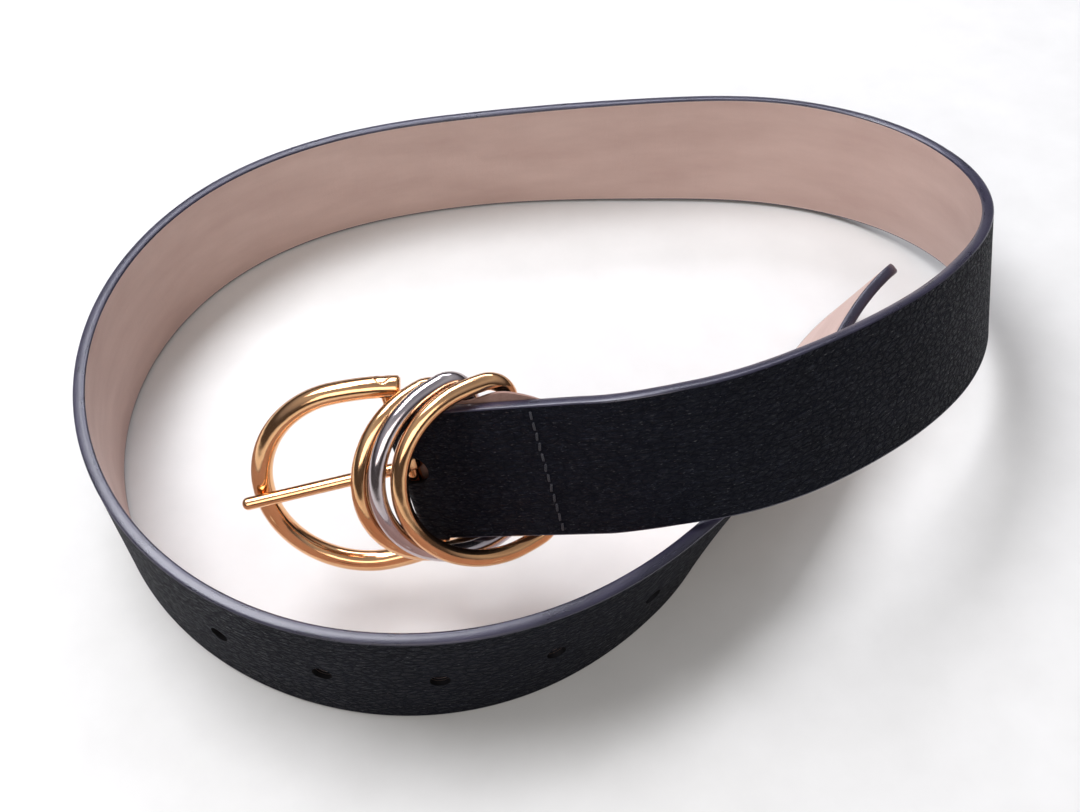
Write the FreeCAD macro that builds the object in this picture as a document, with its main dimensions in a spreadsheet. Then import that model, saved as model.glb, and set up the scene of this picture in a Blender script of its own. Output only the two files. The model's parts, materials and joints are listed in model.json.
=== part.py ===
import FreeCAD, Part
import math
import os
import Sketcher
from FreeCAD import Placement, Rotation, Vector

# Leather belt, loosely coiled and standing on its edge.
# Lengths are millimetres, angles are degrees.
# "Station" is the distance along the strap, from the buckle bar (0) to the tip.
# The strap's own directions are: along (towards the tip), up (across the width)
# and inward (out of the lining, towards the inside of the coil).

DOC = FreeCAD.newDocument("LeatherBelt")

DIMENSIONS = {
    # strap section and ends
    "strap_width": 35,
    "outer_ply": 1.2,
    "core_ply": 0.5,
    "lining_ply": 1.1,
    "glue_line": 0.05,
    "strap_length": 831,
    "tip_corner": 9,
    "inner_ply_start": 5.6,
    # path of the coil: heading at the buckle, straight run, climb and descent
    "buckle_heading": -12,
    "straight_run": 44,
    "bar_lift": 18.6,
    "climb_slope": 0.2905,
    "crest_lift": 35.7,
    "crest_station": 68,
    "floor_station": 273,
    "buckle_lean": 18,
    "rest_flat": 0.05,
    # punched holes
    "hole_diameter": 4.6,
    "hole_pitch": 26,
    "hole_count": 5,
    "first_hole": 606.5,
    # fold round the buckle bar, turned-back flap and its cross seam
    "bar_diameter": 3.2,
    "hinge_clearance": 0.06,
    "flap_length": 44,
    "flap_landing": 13,
    "flap_end_ply": 0.4,
    "flap_ease": 5.85,
    "slot_width": 7,
    "slot_shift": 2.2,
    "slot_gap": 0.4,
    "seam_station": 33.5,
    "stitch_count": 12,
    "stitch_pitch": 2.7,
    "stitch_length": 2.0,
    "stitch_width": 0.8,
    "stitch_height": 0.35,
    "stitch_rounding": 0.14,
    "stitch_clearance": 0.02,
    # buckle frame
    "frame_wire": 5,
    "frame_half_height": 23.2,
    "frame_depth": 35.2,
    "frame_arm": 12.6,
    "frame_arm_radius": 66,
    "frame_side_radius": 19,
    "frame_tail": 3.4,
    "frame_end_chamfer": 0.6,
    "frame_shift": 1.0,
    "frame_angle": 16.7,
    "bar_half_length": 24.0,
    "bar_end_chamfer": 0.4,
    "bar_press": 0.01,
    # prong
    "prong_wire": 3,
    "prong_loop_wall": 1.3,
    "prong_tip_round": 1.26,
    "prong_reach": 39.5,
    "prong_rise": 2.1,
    "prong_shift": 3.7,
    # loose half-round rings
    "ring_wire": 4,
    "ring_arm_radius": 40,
    "ring_side_radius": 17.8,
    "ring_corner": 5.05,
}

# Sideways bend of the coil, degrees per 100 mm, changing evenly between stations.
BEND_TABLE = [(44, 115.5), (102, 34.5), (158, 45), (210, 126), (262, 89.5), (318, 3),
              (380, 23), (452, 76), (564, 61.6), (678, 73.7), (750, 37.2), (831, -84.9)]

# Lean of the strap's top edge towards the inside of the coil, degrees.
LEAN_TABLE = [(44, 18), (98, 26), (148, 22), (198, 9), (278, -12), (378, 0),
              (640, 0), (718, -10), (768, -25), (831, -25)]

# Half height, arm length and depth of each ring's bow.
RING_SIZES = {
    "ring_lower_gold": {"half_height": 20.95, "arm": 8.3, "depth": 28.81},
    "ring_middle_silver": {"half_height": 21.47, "arm": 8.8, "depth": 29.82},
    "ring_upper_gold": {"half_height": 21.3, "arm": 10.1, "depth": 30.91},
}

# Rest place of each ring's straight back on the strap, and how the ring is turned
# from lying flat against the strap.
RING_PLACES = {
    "ring_lower_gold": {"station": 13.81, "rise": 2.17, "inward": 6.81,
                        "swing": 46.25, "turn": -9.44, "tip": -0.01},
    "ring_middle_silver": {"station": 19.28, "rise": 2.95, "inward": 6.57,
                           "swing": 46.28, "turn": -9.65, "tip": 0.0},
    "ring_upper_gold": {"station": 27.6, "rise": 0.74, "inward": 5.62,
                        "swing": 38.47, "turn": -3.12, "tip": 2.75},
}

PATH_STEP = 1.0
CURVE_STEP = 11.0


def make_sheet():
    """Put the driving dimensions into a spreadsheet with named cells."""
    cells = dict(DIMENSIONS)
    for kind, table in (("bend", BEND_TABLE), ("lean", LEAN_TABLE)):
        for k, (station, value) in enumerate(table, start=1):
            cells["%s_station_%d" % (kind, k)] = station
            cells["%s_value_%d" % (kind, k)] = value
    for table in (RING_SIZES, RING_PLACES):
        for ring, row in table.items():
            for item, value in row.items():
                cells["%s_%s" % (ring, item)] = value
    sheet = DOC.addObject("Spreadsheet::Sheet", "dims")
    for row, (name, value) in enumerate(cells.items(), start=1):
        sheet.set("A%d" % row, name)
        sheet.set("B%d" % row, str(value))
        sheet.setAlias("B%d" % row, name)
    DOC.recompute()
    return sheet


SHEET = make_sheet()


def dim(name):
    return float(SHEET.get(name))


def table_from_sheet(kind, count):
    return [(dim("%s_station_%d" % (kind, k)), dim("%s_value_%d" % (kind, k)))
            for k in range(1, count + 1)]


BENDS = table_from_sheet("bend", len(BEND_TABLE))
LEANS = table_from_sheet("lean", len(LEAN_TABLE))


# ---------------------------------------------------------------- strap path

def along(table, station):
    """Value of a table that changes evenly between its stations."""
    for (s0, v0), (s1, v1) in zip(table, table[1:]):
        if station <= s1:
            return v0 + (v1 - v0) * (station - s0) / (s1 - s0)
    return table[-1][1]


def blend_slopes(table, first_slope):
    """Slopes that make a smooth curve through a table without overshoot."""
    steps = [b[0] - a[0] for a, b in zip(table, table[1:])]
    rises = [(b[1] - a[1]) / w for (a, b), w in zip(zip(table, table[1:]), steps)]
    slopes = [first_slope]
    for i in range(1, len(table) - 1):
        before, after = rises[i - 1], rises[i]
        if before * after <= 0:
            slopes.append(0.0)
            continue
        w1 = 2 * steps[i] + steps[i - 1]
        w2 = steps[i] + 2 * steps[i - 1]
        slopes.append((w1 + w2) / (w1 / before + w2 / after))
    slopes.append(0.0)
    return slopes


def smooth(table, station, first_slope=0.0):
    """Smooth curve through a table, level at its far end."""
    slopes = blend_slopes(table, first_slope)
    i = 0
    while i < len(table) - 2 and station > table[i + 1][0]:
        i += 1
    width = table[i + 1][0] - table[i][0]
    t = (station - table[i][0]) / width
    rise = table[i + 1][1] - table[i][1]
    return (table[i][1] + rise * t * t * (3 - 2 * t)
            + width * slopes[i] * t * (1 - t) ** 2
            - width * slopes[i + 1] * t * t * (1 - t))


def bottom_lift(station):
    """Height of the strap's lower edge above the floor."""
    climb = dim("climb_slope")
    run = dim("straight_run")
    crest, floor = dim("crest_station"), dim("floor_station")
    if station <= run:
        return dim("bar_lift") + climb * station
    if station <= crest:
        start = dim("bar_lift") + climb * run
        return smooth([(run, start), (crest, dim("crest_lift"))], station, climb)
    if station < floor:
        phase = math.pi / 2 * (station - crest) / (floor - crest)
        return dim("crest_lift") * math.cos(phase) ** 2
    return 0.0


def lean_at(station):
    if station <= dim("straight_run"):
        return math.radians(dim("buckle_lean"))
    return math.radians(smooth(LEANS, station))


def thickness():
    return dim("outer_ply") + dim("core_ply") + dim("lining_ply") + 2 * dim("glue_line")


def centre_height(station):
    lean = lean_at(station)
    return (bottom_lift(station) + dim("strap_width") / 2 * math.cos(lean)
            + thickness() / 2 * abs(math.sin(lean)))


class Station:
    """Centre point and directions of the strap at one station."""

    def __init__(self, centre, tangent, up):
        self.centre = centre
        self.tangent = tangent
        self.up = up
        self.inward = up.cross(tangent).normalize()

    def point(self, up, inward):
        return self.centre + self.up * up + self.inward * inward


def coil_station(centre, heading, slope, lean):
    """Station from its heading on the floor, its rise per mm and its lean."""
    flat = math.sqrt(1 - slope * slope)
    side = Vector(-math.sin(heading), math.cos(heading), 0)
    tangent = Vector(math.cos(heading) * flat, math.sin(heading) * flat, slope)
    rise = tangent.cross(side)
    up = (rise * math.cos(lean) + side * math.sin(lean)).normalize()
    return Station(centre, tangent, up)


def slope_at(station):
    if station <= dim("straight_run"):
        return dim("climb_slope")
    half = PATH_STEP / 2
    return (centre_height(station + half) - centre_height(station - half)) / PATH_STEP


def walk_path():
    """Stations at every path step, by following the heading along the strap."""
    stations = []
    x, y = 0.0, 0.0
    heading = math.radians(dim("buckle_heading"))
    count = int(round(dim("strap_length") / PATH_STEP))
    previous = None
    for k in range(count + 1):
        s = k * PATH_STEP
        bend = 0.0 if s <= dim("straight_run") else math.radians(along(BENDS, s)) / 100
        if previous is not None:
            heading += (bend + previous[0]) / 2 * PATH_STEP
        slope = slope_at(s)
        flat = math.sqrt(1 - slope * slope)
        step = (math.cos(heading) * flat, math.sin(heading) * flat)
        if previous is not None:
            x += (step[0] + previous[1][0]) / 2 * PATH_STEP
            y += (step[1] + previous[1][1]) / 2 * PATH_STEP
        previous = (bend, step)
        centre = Vector(x, y, centre_height(s))
        stations.append(coil_station(centre, heading, slope, lean_at(s)))
    return stations


PATH = walk_path()


def station_at(s):
    """Directions at any station, between two path steps."""
    i = min(int(s / PATH_STEP), len(PATH) - 2)
    t = s / PATH_STEP - i
    a, b = PATH[i], PATH[i + 1]
    return Station(a.centre * (1 - t) + b.centre * t,
                   (a.tangent * (1 - t) + b.tangent * t).normalize(),
                   (a.up * (1 - t) + b.up * t).normalize())


def strap_frame(s):
    """Placement at a station: X along the strap, Y up, Z outward."""
    here = station_at(s)
    outward = here.tangent.cross(here.up)
    return Placement(here.centre, Rotation(here.tangent, here.up, outward, "XYZ"))


# ---------------------------------------------------------------- strap plies

def ruled_face(one, other):
    """Ruled face between two curves that share their knots."""
    surface = Part.BSplineSurface()
    surface.buildFromPolesMultsKnots([one.getPoles(), other.getPoles()],
                                     [2, 2], one.getMultiplicities(),
                                     [0, 1], one.getKnots(),
                                     False, False, 1, one.Degree)
    return surface.toShape()


def bent_ply(start, inner, outer):
    """Curved part of a ply between two inward offsets, as a ruled solid."""
    length = dim("strap_length")
    count = int(round((length - start) / CURVE_STEP))
    stops = [station_at(start + (length - start) * k / count) for k in range(count + 1)]
    half = dim("strap_width") / 2
    corners = [(-half, inner), (half, inner), (half, outer), (-half, outer)]
    curves = []
    for up, inward in corners:
        curve = Part.BSplineCurve()
        curve.interpolate([stop.point(up, inward) for stop in stops],
                          Parameters=[float(k) for k in range(count + 1)],
                          InitialTangent=stops[0].tangent * CURVE_STEP,
                          FinalTangent=stops[-1].tangent * CURVE_STEP, Scale=False)
        curves.append(curve)
    faces = [ruled_face(curves[i], curves[(i + 1) % 4]) for i in range(4)]
    for stop in (stops[0], stops[-1]):
        points = [stop.point(up, inward) for up, inward in corners]
        faces.append(Part.Face(Part.makePolygon(points + points[:1])))
    shell = Part.Shell(faces)
    shell.sewShape()
    solid = Part.Solid(shell)
    if solid.Volume < 0:
        solid.reverse()
    return solid


def local_box(x0, x1, inner, outer):
    """Straight slab of a ply in the buckle's own directions."""
    width = dim("strap_width")
    slab = Part.makeBox(x1 - x0, width, outer - inner, Vector(x0, -width / 2, -outer))
    slab.Placement = strap_frame(0)
    return slab


def tip_corners():
    """The two corner offcuts that leave a softly rounded tip."""
    radius = dim("tip_corner")
    half = dim("strap_width") / 2
    spare = 6.0
    offcuts = []
    for side in (-1, 1):
        block = Part.makeBox(radius + spare, radius + spare, 4 * spare,
                             Vector(-radius, 0, -2 * spare))
        block.translate(Vector(0, half - radius, 0))
        disc = Part.makeCylinder(radius, 4 * spare, Vector(-radius, half - radius, -2 * spare))
        offcut = block.cut(disc)
        if side < 0:
            offcut = offcut.mirror(Vector(0, 0, 0), Vector(0, 1, 0))
        offcut.Placement = strap_frame(dim("strap_length")).multiply(offcut.Placement)
        offcuts.append(offcut)
    return offcuts


def punches():
    """Round punches for the row of holes."""
    reach = 6.0
    tools = []
    for k in range(int(dim("hole_count"))):
        place = strap_frame(dim("first_hole") + k * dim("hole_pitch"))
        punch = Part.makeCylinder(dim("hole_diameter") / 2, 2 * reach, Vector(0, 0, -reach))
        punch.Placement = place
        tools.append(punch)
    return tools


def floor_slab():
    """Everything below the small flat that the resting edge is worn to."""
    size = 1000.0
    depth = 10.0
    return Part.makeBox(size, size, depth,
                        Vector(-size / 2, -size / 2, dim("rest_flat") - depth))


def bar_inward():
    """Inward offset of the bar's axis from the middle of the strap."""
    return -thickness() / 2 + fold_radius() + dim("outer_ply")


def fold_radius():
    return dim("bar_diameter") / 2 + dim("hinge_clearance")


def bezier(points):
    curve = Part.BezierCurve()
    curve.setPoles([Vector(x, 0, -z) for x, z in points])
    return curve.toShape()


def flap_gap():
    return thickness() / 2 + dim("glue_line")


def flap_outer_at(x):
    """Inward offset of the flap's back face past its landing."""
    landing, end = dim("flap_landing"), dim("flap_length")
    t = (x - landing) / (end - landing)
    ply = dim("outer_ply") * (1 - t) + dim("flap_end_ply") * t
    return flap_gap() + ply


def turned_fold():
    """Outer leather wrapped round the bar and turned back as a thinning flap."""
    radius, ply = fold_radius(), dim("outer_ply")
    axis = bar_inward()
    landing, end = dim("flap_landing"), dim("flap_length")
    pull = dim("flap_ease")
    inner, outer = axis + radius, axis + radius + ply
    front, back = axis - radius, axis - radius - ply

    def arc(size, start_z, end_z):
        return Part.Arc(Vector(0, 0, -start_z), Vector(-size, 0, -axis),
                        Vector(0, 0, -end_z)).toShape()

    edges = [
        Part.makeLine(Vector(0, 0, -back), Vector(0, 0, -front)),
        arc(radius, front, inner),
        bezier([(0, inner), (pull, inner), (landing - pull, flap_gap()), (landing, flap_gap())]),
        Part.makeLine(Vector(landing, 0, -flap_gap()), Vector(end, 0, -flap_gap())),
        Part.makeLine(Vector(end, 0, -flap_gap()), Vector(end, 0, -flap_outer_at(end))),
        Part.makeLine(Vector(end, 0, -flap_outer_at(end)),
                      Vector(landing, 0, -flap_outer_at(landing))),
        bezier([(landing, flap_outer_at(landing)), (landing - pull, flap_outer_at(landing)),
                (pull, outer), (0, outer)]),
        arc(radius + ply, outer, back),
    ]
    profile = Part.Face(Part.Wire(Part.__sortEdges__(edges)))
    width = dim("strap_width")
    profile.translate(Vector(0, -width / 2, 0))
    fold = profile.extrude(Vector(0, width, 0))
    fold.Placement = strap_frame(0)
    return fold


def prong_slot():
    """Rounded slot through both sides of the fold, where the prong comes out."""
    half = dim("slot_width") / 2
    depth = 30.0
    end = dim("inner_ply_start") - dim("slot_gap") - half
    slab = Part.makeBox(end + 10, 2 * half, depth, Vector(-10, -half, -depth / 2))
    round_end = Part.makeCylinder(half, depth, Vector(end, 0, -depth / 2))
    slot = slab.fuse(round_end)
    slot.translate(Vector(0, dim("slot_shift"), 0))
    slot.Placement = strap_frame(0).multiply(slot.Placement)
    return slot


def add_feature(name, shape):
    feature = DOC.addObject("Part::Feature", name)
    feature.Shape = shape
    feature.Label = name
    return feature


def strap_layers():
    """The three bonded plies; the outer one carries the fold and the flap."""
    outside = -thickness() / 2
    first = outside + dim("outer_ply")
    second = first + dim("glue_line")
    third = second + dim("core_ply")
    fourth = third + dim("glue_line")
    inside = thickness() / 2
    run = dim("straight_run")
    start = dim("inner_ply_start")
    cutters = punches() + tip_corners() + [floor_slab()]

    outer = bent_ply(run, outside, first).fuse([local_box(0, run, outside, first),
                                                 turned_fold()])
    outer = outer.cut(cutters + [prong_slot()]).removeSplitter()
    core = bent_ply(run, second, third).fuse(local_box(start, run, second, third))
    core = core.cut(cutters).removeSplitter()
    lining = bent_ply(run, fourth, inside).fuse(local_box(start, run, fourth, inside))
    lining = lining.cut(cutters).removeSplitter()
    return [add_feature("strap_outer", outer), add_feature("strap_core", core),
            add_feature("strap_lining", lining)]


def cross_seam():
    """Row of thread stitches across the strap, on the face and on the flap."""
    length, width, height = dim("stitch_length"), dim("stitch_width"), dim("stitch_height")
    count, pitch = int(dim("stitch_count")), dim("stitch_pitch")
    clear = dim("stitch_clearance")
    solids = []
    faces = [thickness() / 2 + clear, -flap_outer_at(dim("seam_station")) - height - 4 * clear]
    for base in faces:
        for k in range(count):
            y = (k - (count - 1) / 2) * pitch
            corner = Vector(dim("seam_station") - width / 2, y - length / 2, base)
            stitch = Part.makeBox(width, length, height, corner)
            stitch = stitch.makeFillet(dim("stitch_rounding"), stitch.Edges)
            stitch.Placement = strap_frame(0)
            solids.append(stitch)
    return add_feature("cross_stitches", Part.makeCompound(solids))


# ---------------------------------------------------------------- metal parts

def new_body(name):
    body = DOC.addObject("PartDesign::Body", name)
    body.Label = name
    return body


def plane(body, role):
    for item in body.Origin.OriginFeatures:
        if item.Role == role:
            return item
    raise ValueError(role)


def sketch_on(body, name, role, offset=None):
    sketch = body.newObject("Sketcher::SketchObject", name)
    sketch.AttachmentSupport = [(plane(body, role), "")]
    sketch.MapMode = "FlatFace"
    if offset is not None:
        sketch.AttachmentOffset = offset
    return sketch


def add_circle(sketch, x, y, diameter_expression, radius):
    """A full circle, its size bound to the sheet."""
    circle = sketch.addGeometry(Part.Circle(Vector(x, y, 0), Vector(0, 0, 1), radius), False)
    sketch.addConstraint(Sketcher.Constraint("DistanceX", circle, 3, x))
    sketch.addConstraint(Sketcher.Constraint("DistanceY", circle, 3, y))
    size = sketch.addConstraint(Sketcher.Constraint("Diameter", circle, 2 * radius))
    sketch.setExpression("Constraints[%d]" % size, diameter_expression)
    return circle


def basket_arc(depth, half_height, side_radius):
    """Radius and centre offset of the wide arc between two tighter side arcs."""
    reach = half_height - side_radius
    rest = depth - side_radius
    offset = (reach * reach - rest * rest) / (2 * rest)
    return depth + offset, offset


def tip_of_arm(arm, half_height, arm_radius, end_x):
    """Point and turn, in radians, where a bowed arm has run back to end_x."""
    turn = math.asin((arm + end_x) / arm_radius)
    drop = arm_radius * (1 - math.cos(turn))
    return Vector(end_x, half_height - drop, 0), turn


def bow_geometry(end_x, arm, depth, half_height, side_radius, arm_radius):
    """Bowed top arm, three front arcs and bowed bottom arm, open towards +X."""
    radius, offset = basket_arc(depth - arm, half_height, side_radius)
    reach = half_height - side_radius
    spread = math.atan2(reach, offset)
    joint = Vector(-arm + offset - radius * math.cos(spread), radius * math.sin(spread), 0)
    top = Vector(-arm, half_height, 0)
    mid_angle = math.radians(90) + (math.radians(90) - spread) / 2
    knee = Vector(-arm + side_radius * math.cos(mid_angle),
                  reach + side_radius * math.sin(mid_angle), 0)
    end, turn = tip_of_arm(arm, half_height, arm_radius, end_x)
    middle = Vector(-arm + arm_radius * math.sin(turn / 2),
                    half_height - arm_radius * (1 - math.cos(turn / 2)), 0)
    return [
        Part.Arc(end, middle, top),
        Part.Arc(top, knee, joint),
        Part.Arc(joint, Vector(-depth, 0, 0), mirrored(joint)),
        Part.Arc(mirrored(joint), mirrored(knee), mirrored(top)),
        Part.Arc(mirrored(top), mirrored(middle), mirrored(end)),
    ]


def mirrored(point):
    return Vector(point.x, -point.y, 0)


def sweep_along(body, name, path, profile):
    pipe = body.newObject("PartDesign::AdditivePipe", name)
    pipe.Profile = profile
    pipe.Spine = (path, ["Edge%d" % (k + 1) for k in range(path.GeometryCount)])
    return pipe


def buckle_frame():
    """Horseshoe of round wire; both arms are drilled for the bar."""
    body = new_body("buckle_frame")
    tail, half = dim("frame_tail"), dim("frame_half_height")
    end, turn = tip_of_arm(dim("frame_arm"), half, dim("frame_arm_radius"), tail)
    path = sketch_on(body, "frame_path", "XY_Plane")
    path.addGeometry(bow_geometry(tail, dim("frame_arm"), dim("frame_depth"), half,
                                  dim("frame_side_radius"), dim("frame_arm_radius")), False)
    section = sketch_on(body, "frame_section", "YZ_Plane",
                        Placement(Vector(end.y, 0, end.x),
                                  Rotation(Vector(0, 1, 0), -math.degrees(turn))))
    add_circle(section, 0, 0, "dims.frame_wire", dim("frame_wire") / 2)
    DOC.recompute()
    sweep_along(body, "frame_wire_sweep", path, section)
    DOC.recompute()
    before = body.Shape.Volume
    drill = sketch_on(body, "bar_drill", "XZ_Plane")
    add_circle(drill, 0, 0, "dims.bar_diameter", dim("bar_diameter") / 2)
    DOC.recompute()
    pocket = body.newObject("PartDesign::Pocket", "bar_holes")
    pocket.Profile = drill
    pocket.Midplane = True
    pocket.Length = half * 4
    pocket.setExpression("Length", "dims.frame_half_height * 4")
    DOC.recompute()
    if body.Shape.Volume >= before - 1:
        raise RuntimeError("bar holes not cut")
    rims = ["Edge%d" % (i + 1) for i, edge in enumerate(pocket.Shape.Edges)
            if edge.Closed and abs(edge.BoundBox.Center.x - tail) < 0.01]
    chamfer = body.newObject("PartDesign::Chamfer", "arm_ends")
    chamfer.Base = (pocket, rims)
    chamfer.Size = dim("frame_end_chamfer")
    chamfer.setExpression("Size", "dims.frame_end_chamfer")
    DOC.recompute()
    return body


def buckle_bar():
    """Thin round bar across the arms, with rounded ends."""
    body = new_body("buckle_bar")
    section = sketch_on(body, "bar_section", "XZ_Plane")
    add_circle(section, 0, 0, "dims.bar_diameter - 2 * dims.bar_press",
               dim("bar_diameter") / 2 - dim("bar_press"))
    DOC.recompute()
    pad = body.newObject("PartDesign::Pad", "bar_pad")
    pad.Profile = section
    pad.Midplane = True
    pad.Length = dim("bar_half_length") * 2
    pad.setExpression("Length", "2 * dims.bar_half_length")
    DOC.recompute()
    ends = ["Edge%d" % (i + 1) for i, edge in enumerate(pad.Shape.Edges)
            if edge.Closed]
    chamfer = body.newObject("PartDesign::Chamfer", "bar_ends")
    chamfer.Base = (pad, ends)
    chamfer.Size = dim("bar_end_chamfer")
    chamfer.setExpression("Size", "dims.bar_end_chamfer")
    DOC.recompute()
    return body


def prong():
    """Straight round prong on a loop that wraps the bar."""
    body = new_body("prong")
    inner = fold_radius()
    wire = dim("prong_wire")
    loop = sketch_on(body, "prong_loop", "XZ_Plane")
    add_circle(loop, 0, 0, "dims.bar_diameter + 2 * dims.hinge_clearance"
                           " + 2 * dims.prong_loop_wall", inner + dim("prong_loop_wall"))
    add_circle(loop, 0, 0, "dims.bar_diameter + 2 * dims.hinge_clearance", inner)
    DOC.recompute()
    ring = body.newObject("PartDesign::Pad", "loop_pad")
    ring.Profile = loop
    ring.Midplane = True
    ring.Length = wire
    ring.setExpression("Length", "dims.prong_wire")
    DOC.recompute()
    shank = sketch_on(body, "prong_section", "YZ_Plane")
    add_circle(shank, 0, inner + wire / 2, "dims.prong_wire", wire / 2)
    DOC.recompute()
    pad = body.newObject("PartDesign::Pad", "shank_pad")
    pad.Profile = shank
    pad.Length = dim("prong_reach")
    pad.setExpression("Length", "dims.prong_reach")
    pad.Reversed = True
    DOC.recompute()
    if body.Shape.BoundBox.XMin > -dim("prong_reach") / 2:
        raise RuntimeError("prong points the wrong way")
    far = min(pad.Shape.Faces, key=lambda face: face.CenterOfMass.x)
    names = ["Edge%d" % (i + 1) for i, edge in enumerate(pad.Shape.Edges)
             if abs(edge.CenterOfMass.x - far.CenterOfMass.x) < 0.01]
    tip = body.newObject("PartDesign::Fillet", "prong_tip")
    tip.Base = (pad, names)
    tip.Radius = dim("prong_tip_round")
    tip.setExpression("Radius", "dims.prong_tip_round")
    DOC.recompute()
    return body


def half_round_ring(name):
    """Closed half-round ring of round wire with a straight back."""
    body = new_body(name)
    half, corner = dim(name + "_half_height"), dim("ring_corner")
    arm, arm_radius = dim(name + "_arm"), dim("ring_arm_radius")
    reach = half - arm_radius + math.sqrt((arm_radius - corner) ** 2 - (arm - corner) ** 2)
    turn = math.asin((arm - corner) / (arm_radius - corner))
    end_x = -arm + arm_radius * math.sin(turn)
    path = sketch_on(body, name + "_path", "XY_Plane")
    bow = bow_geometry(end_x, arm, dim(name + "_depth"), half,
                       dim("ring_side_radius"), arm_radius)
    end = Vector(end_x, half - arm_radius * (1 - math.cos(turn)), 0)
    middle = (math.radians(90) + turn) / 2
    knee = Vector(-corner + corner * math.sin(middle), reach + corner * math.cos(middle), 0)
    top_corner = Part.Arc(Vector(0, reach, 0), knee, end)
    low_corner = Part.Arc(mirrored(end), mirrored(knee), Vector(0, -reach, 0))
    back_low = Part.LineSegment(Vector(0, -reach, 0), Vector(0, 0, 0))
    back_top = Part.LineSegment(Vector(0, 0, 0), Vector(0, reach, 0))
    path.addGeometry([back_top, top_corner] + bow + [low_corner, back_low], False)
    section = sketch_on(body, name + "_section", "XZ_Plane")
    add_circle(section, 0, 0, "dims.ring_wire", dim("ring_wire") / 2)
    DOC.recompute()
    sweep_along(body, name + "_sweep", path, section)
    DOC.recompute()
    return body


def swung(angle, turn=0.0, tip=0.0):
    """Rotation of a bow: swung outward, turned in its plane, then tipped."""
    swing = Rotation(Vector(0, 1, 0), angle)
    in_plane = Rotation(Vector(0, 0, 1), -turn)
    tipping = Rotation(Vector(1, 0, 0), -tip)
    return swing.multiply(in_plane).multiply(tipping)


def place_metal(body, station, rise, inward, rotation):
    """Put a metal part in the buckle's own directions."""
    local = Placement(Vector(station, rise, -inward), rotation)
    body.Placement = strap_frame(0).multiply(local)


def build_parts():
    parts = strap_layers()
    parts.append(cross_seam())

    frame = buckle_frame()
    frame_swing = swung(dim("frame_angle"))
    place_metal(frame, 0, dim("frame_shift"), bar_inward(), frame_swing)
    bar = buckle_bar()
    place_metal(bar, 0, dim("frame_shift"), bar_inward(), frame_swing)
    pin = prong()
    place_metal(pin, 0, dim("prong_shift"), bar_inward(),
                swung(dim("frame_angle") + dim("prong_rise")))
    parts += [frame, bar, pin]

    for name in RING_PLACES:
        ring = half_round_ring(name)
        station, rise, inward, swing, turn, tip = [dim("%s_%s" % (name, item))
                                                   for item in RING_PLACES[name]]
        place_metal(ring, station, rise, inward, swung(swing, turn, tip))
        parts.append(ring)
    DOC.recompute()
    return parts


def centre_on_floor(parts):
    """Move everything so the origin is the middle of the footprint, on the floor."""
    box = FreeCAD.BoundBox()
    for part in parts:
        box.add(part.Shape.optimalBoundingBox(False))
    shift = Placement(Vector(-(box.XMin + box.XMax) / 2, -(box.YMin + box.YMax) / 2, -box.ZMin),
                      Rotation())
    for part in parts:
        part.Placement = shift.multiply(part.Placement)
    DOC.recompute()


def check(parts):
    for item in DOC.Objects:
        if "Invalid" in item.State or "Error" in item.State:
            raise RuntimeError("failed object: " + item.Label)
    for part in parts:
        if part.Shape.isNull() or not part.Shape.isValid():
            raise RuntimeError("bad shape: " + part.Label)


def write(parts):
    os.makedirs("parts", exist_ok=True)
    for part in parts:
        part.Shape.exportStep("parts/%s.step" % part.Label)
        box = part.Shape.BoundBox
        print("%-20s volume %9.1f  box %s" % (part.Label, part.Shape.Volume, box))


PARTS = build_parts()
centre_on_floor(PARTS)
check(PARTS)
write(PARTS)
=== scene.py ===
"""Looks of a coiled leather belt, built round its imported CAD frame."""
import json
import math
import random

import bpy
from mathutils import Matrix, Vector, noise

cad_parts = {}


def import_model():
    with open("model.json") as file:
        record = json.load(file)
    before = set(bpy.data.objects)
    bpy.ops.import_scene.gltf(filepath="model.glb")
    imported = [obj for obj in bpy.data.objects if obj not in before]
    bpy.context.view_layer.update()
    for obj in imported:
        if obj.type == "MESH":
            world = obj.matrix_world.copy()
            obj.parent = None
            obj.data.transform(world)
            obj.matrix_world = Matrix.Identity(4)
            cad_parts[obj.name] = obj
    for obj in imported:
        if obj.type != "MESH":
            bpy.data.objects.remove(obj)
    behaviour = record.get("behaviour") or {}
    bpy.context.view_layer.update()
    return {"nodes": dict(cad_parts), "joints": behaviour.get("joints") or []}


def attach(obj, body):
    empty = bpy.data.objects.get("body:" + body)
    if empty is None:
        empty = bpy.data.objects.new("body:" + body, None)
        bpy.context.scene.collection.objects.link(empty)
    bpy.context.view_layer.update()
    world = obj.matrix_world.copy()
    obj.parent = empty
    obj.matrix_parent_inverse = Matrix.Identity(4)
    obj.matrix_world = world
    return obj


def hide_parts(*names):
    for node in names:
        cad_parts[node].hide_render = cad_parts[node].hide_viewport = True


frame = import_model()
JOINTS = {joint["name"]: joint for joint in frame["joints"]}
MM = 0.001

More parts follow.
